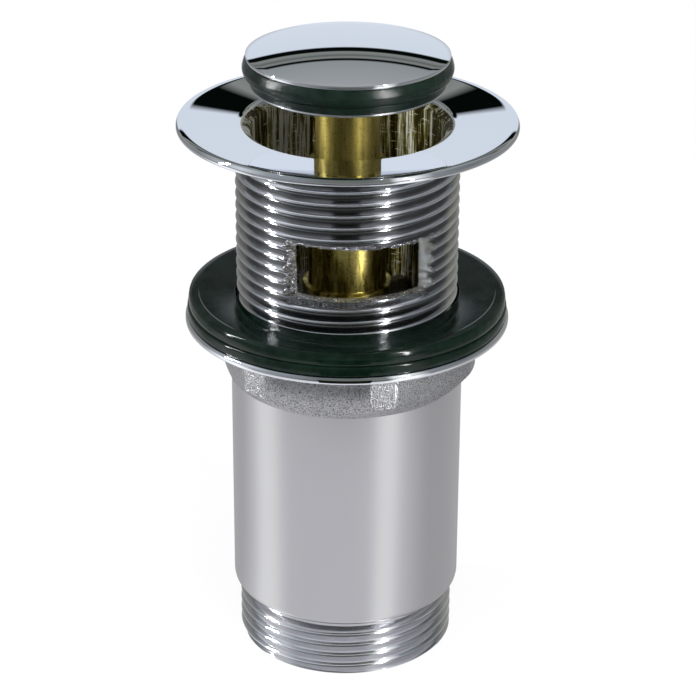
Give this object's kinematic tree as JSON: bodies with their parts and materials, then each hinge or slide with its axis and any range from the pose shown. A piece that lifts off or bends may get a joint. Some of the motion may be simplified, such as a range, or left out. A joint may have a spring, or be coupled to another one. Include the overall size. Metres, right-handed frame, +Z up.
{
  "type": "pop up basin waste",
  "caption": "Slotted click-clack basin waste with domed plug on a brass barrel, threaded shank, rubber washers and a flanged six-sided tail with threaded outlet.",
  "frame": {"origin": "centre of the outlet's end face, on the axis of the waste", "axes": "+Z up along the axis towards the plug; the overflow slots face -Y and +Y"},
  "size_m": [0.0635, 0.0634, 0.1221],
  "materials": {
    "polished_chrome": "polished",
    "satin_chrome": "satin",
    "turned_brass": "turned",
    "steel": "plain",
    "acetal": "moulded",
    "seal_rubber": "moulded, slight gloss",
    "washer_rubber": "moulded, slight gloss"
  },
  "bodies": {
    "waste_body": {"flange_body": "polished_chrome", "guide_sleeve": "turned_brass", "cam_post": "steel", "cam_washer_lower": "acetal", "cam_washer_upper": "acetal", "spring_seat": "steel", "spring": "steel"},
    "cam": {"index_cam": "acetal"},
    "plug": {"plug_cap": "polished_chrome", "plug_seal": "seal_rubber", "seal_retainer": "satin_chrome", "plunger_head": "turned_brass", "plunger_tube": "turned_brass", "follower_pin": "steel"},
    "washers": {"rubber_washer": "washer_rubber", "slip_washer": "washer_rubber"},
    "tail": {"tail_body": "satin_chrome"}
  },
  "joints": [
    {"name": "plug_slide", "type": "slide", "parent": "waste_body", "child": "plug", "axis": [0, 0, 1], "range_m": [-0.0094, 0], "stiffness_N_per_m": 200, "springref_m": 0.02, "deforming": ["spring"]},
    {"name": "cam_index", "type": "hinge", "parent": "waste_body", "child": "cam", "pos_m": [0, 0, 0.0855], "axis": [0, 0, 1], "range_deg": [-65, 0]},
    {"name": "washer_travel", "type": "slide", "parent": "waste_body", "child": "washers", "axis": [0, 0, 1], "range_m": [-0.0069, 0.0266]},
    {"name": "tail_turn", "type": "hinge", "parent": "washers", "child": "tail", "pos_m": [0, 0, 0.035], "axis": [0, 0, 1], "range_deg": [-1070, 4140]}
  ],
  "couplings": [
    {"joint": "cam_index", "follows": "plug_slide", "rad_per_m": 120.69},
    {"joint": "washer_travel", "follows": "tail_turn", "m_per_rad": 0.00036749}
  ]
}
